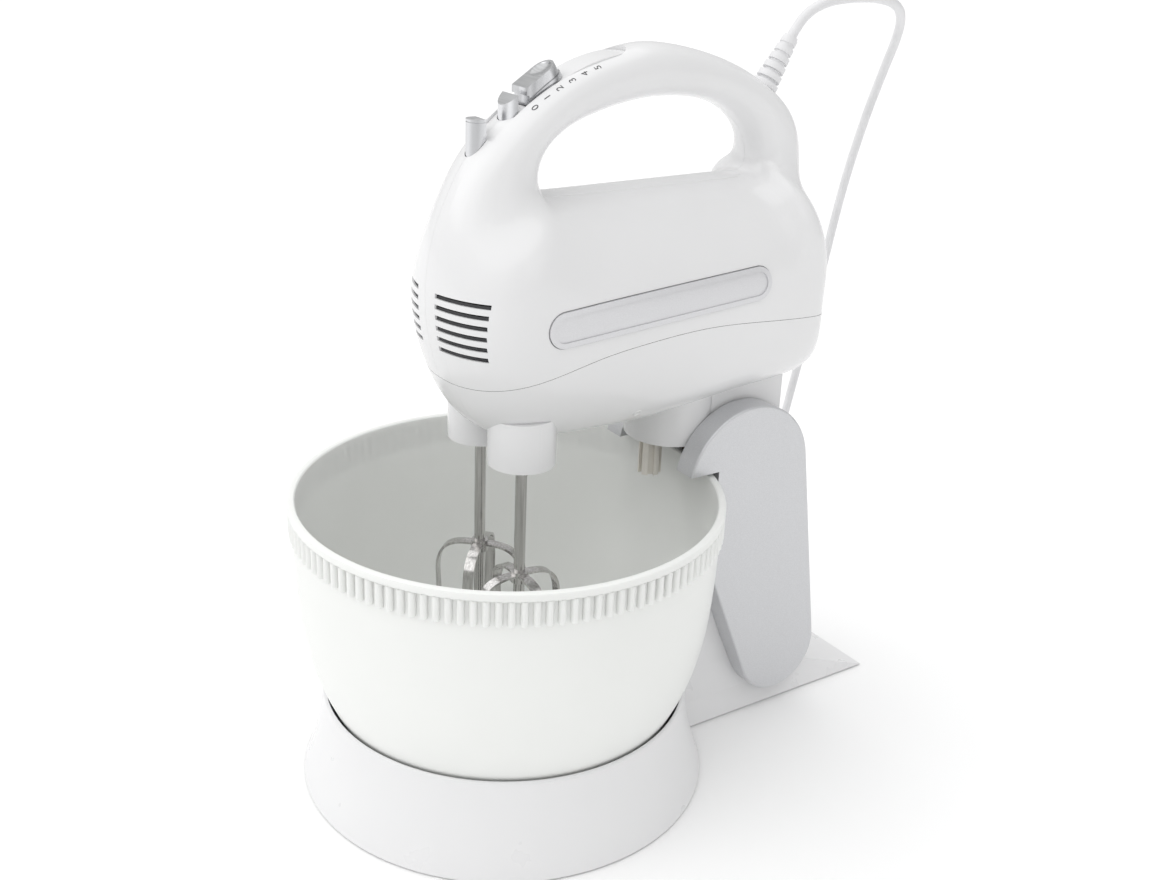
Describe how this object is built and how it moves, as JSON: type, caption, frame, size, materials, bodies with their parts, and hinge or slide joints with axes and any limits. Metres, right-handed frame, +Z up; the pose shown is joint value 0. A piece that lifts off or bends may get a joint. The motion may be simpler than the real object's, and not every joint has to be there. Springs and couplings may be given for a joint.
{
  "type": "stand mixer",
  "caption": "Hand mixer on a tilting stand with side covers, over a turning bowl with a toothed rim; wire beaters, eject and turbo buttons, speed slider and a coiled cord.",
  "frame": {"origin": "bottom centre of the mixer on the table, measured without its cord", "axes": "+Z up, -Y towards the mixer's nose and the front of the bowl, +X to the right of someone who looks along +Y from the front"},
  "size_m": [0.3092, 0.3956, 0.396],
  "materials": {
    "white_shell": "glossy moulded white plastic",
    "base_plate_plastic": "moulded plastic",
    "foot_rubber": "soft rubber",
    "steel": "zinc plated steel",
    "spring_steel": "drawn wire",
    "washer_nylon": "nylon",
    "gear_nylon": "greased nylon",
    "pinion_nylon": "beige nylon",
    "silver_shell": "silver paint",
    "silver_button": "dark silver paint",
    "bronze": "sintered bronze",
    "laminations": "stacked sheet steel",
    "copper": "copper",
    "brass": "brass",
    "carbon": "carbon",
    "dark_plastic": "moulded dark plastic",
    "beater_chrome": "chrome plated steel",
    "cord_rubber": "light grey flexible PVC",
    "plug_brass": "nickel plated brass"
  },
  "bodies": {
    "stand": {"base_shell": "white_shell", "base_plate": "base_plate_plastic", "rubber_feet": "foot_rubber", "base_screws": "steel", "turntable_pivot": "steel", "pivot_washer": "washer_nylon", "side_cover_right": "silver_shell", "side_cover_left": "silver_shell", "hinge_pin": "steel", "latch_spring": "spring_steel", "power_cord": "cord_rubber", "cord_coil": "cord_rubber", "plug_body": "cord_rubber", "plug_pins": "plug_brass"},
    "bowl": {"bowl": "white_shell", "turntable": "white_shell"},
    "head": {"cradle": "white_shell", "hinge_bushes": "bronze", "upper_housing_right": "white_shell", "upper_housing_left": "white_shell", "lower_housing": "white_shell", "side_panel_right": "silver_shell", "side_panel_left": "silver_shell", "housing_screws": "steel", "motor_stator": "laminations", "field_coils": "copper", "shaft_bearings": "bronze", "gear_frame": "dark_plastic", "spindle_bushes": "bronze", "motor_bracket": "dark_plastic", "brush_holders": "brass", "carbon_brushes": "carbon", "slider_track": "white_shell", "speed_switch": "dark_plastic", "turbo_spring": "spring_steel", "eject_spring": "spring_steel", "switch_seat": "dark_plastic", "cord_gland": "cord_rubber"},
    "latch": {"latch_button": "silver_button"},
    "motor": {"motor_shaft": "steel", "armature_core": "laminations", "commutator": "copper", "cooling_fan": "dark_plastic"},
    "right_drive": {"beater_drive_right": "gear_nylon"},
    "left_drive": {"beater_drive_left": "gear_nylon"},
    "turn_gear": {"turn_wheel": "gear_nylon"},
    "bowl_pinion": {"drive_pinion": "pinion_nylon"},
    "right_beater": {"beater_right": "beater_chrome"},
    "left_beater": {"beater_left": "beater_chrome"},
    "slider": {"speed_slider": "silver_button"},
    "turbo": {"turbo_button": "silver_button"},
    "ejector": {"eject_plunger": "silver_button"}
  },
  "joints": [
    {"name": "head_tilt", "type": "hinge", "parent": "stand", "child": "head", "pos_m": [0, 0.0635, 0.153], "axis": [-1, 0, 0], "range_deg": [0, 50], "deforming": ["power_cord"]},
    {"name": "bowl_turn", "type": "hinge", "parent": "stand", "child": "bowl", "pos_m": [0, -0.063, 0.017], "axis": [0, 0, 1], "continuous": true},
    {"name": "latch_press", "type": "slide", "parent": "stand", "child": "latch", "axis": [0, -1, 0], "range_m": [0, 0.003], "stiffness_N_per_m": 400, "springref_m": -0.003, "deforming": ["latch_spring"]},
    {"name": "motor_spin", "type": "hinge", "parent": "head", "child": "motor", "pos_m": [0, 0.04, 0.24], "axis": [0, 1, 0], "continuous": true},
    {"name": "right_drive_spin", "type": "hinge", "parent": "head", "child": "right_drive", "pos_m": [0.02, -0.068, 0.24], "axis": [0, 0, 1], "continuous": true},
    {"name": "left_drive_spin", "type": "hinge", "parent": "head", "child": "left_drive", "pos_m": [-0.02, -0.068, 0.24], "axis": [0, 0, 1], "continuous": true},
    {"name": "turn_gear_spin", "type": "hinge", "parent": "head", "child": "turn_gear", "pos_m": [-0.02, 0.005, 0.24], "axis": [0, 0, 1], "continuous": true},
    {"name": "bowl_pinion_spin", "type": "hinge", "parent": "head", "child": "bowl_pinion", "pos_m": [0, 0.0256, 0.17], "axis": [0, 0, 1], "continuous": true},
    {"name": "right_beater_eject", "type": "slide", "parent": "right_drive", "child": "right_beater", "axis": [0, 0, -1], "range_m": [0, 0.008]},
    {"name": "left_beater_eject", "type": "slide", "parent": "left_drive", "child": "left_beater", "axis": [0, 0, -1], "range_m": [0, 0.008]},
    {"name": "speed_select", "type": "hinge", "parent": "head", "child": "slider", "pos_m": [0, -0.001, 0.285], "axis": [-1, 0, 0], "range_deg": [0, 22.5]},
    {"name": "turbo_press", "type": "slide", "parent": "head", "child": "turbo", "axis": [0, 0, -1], "range_m": [0, 0.0025], "stiffness_N_per_m": 300, "springref_m": -0.003, "deforming": ["turbo_spring"]},
    {"name": "eject_press", "type": "slide", "parent": "head", "child": "ejector", "axis": [0, 0, -1], "range_m": [0, 0.008], "stiffness_N_per_m": 500, "springref_m": -0.006, "deforming": ["eject_spring"]}
  ],
  "couplings": [
    {"joint": "right_drive_spin", "follows": "motor_spin", "ratio": 0.041667},
    {"joint": "left_drive_spin", "follows": "motor_spin", "ratio": -0.041667},
    {"joint": "turn_gear_spin", "follows": "motor_spin", "ratio": -0.041667},
    {"joint": "bowl_pinion_spin", "follows": "motor_spin", "ratio": 0.021605},
    {"joint": "right_beater_eject", "follows": "eject_press", "ratio": 1},
    {"joint": "left_beater_eject", "follows": "eject_press", "ratio": 1}
  ]
}
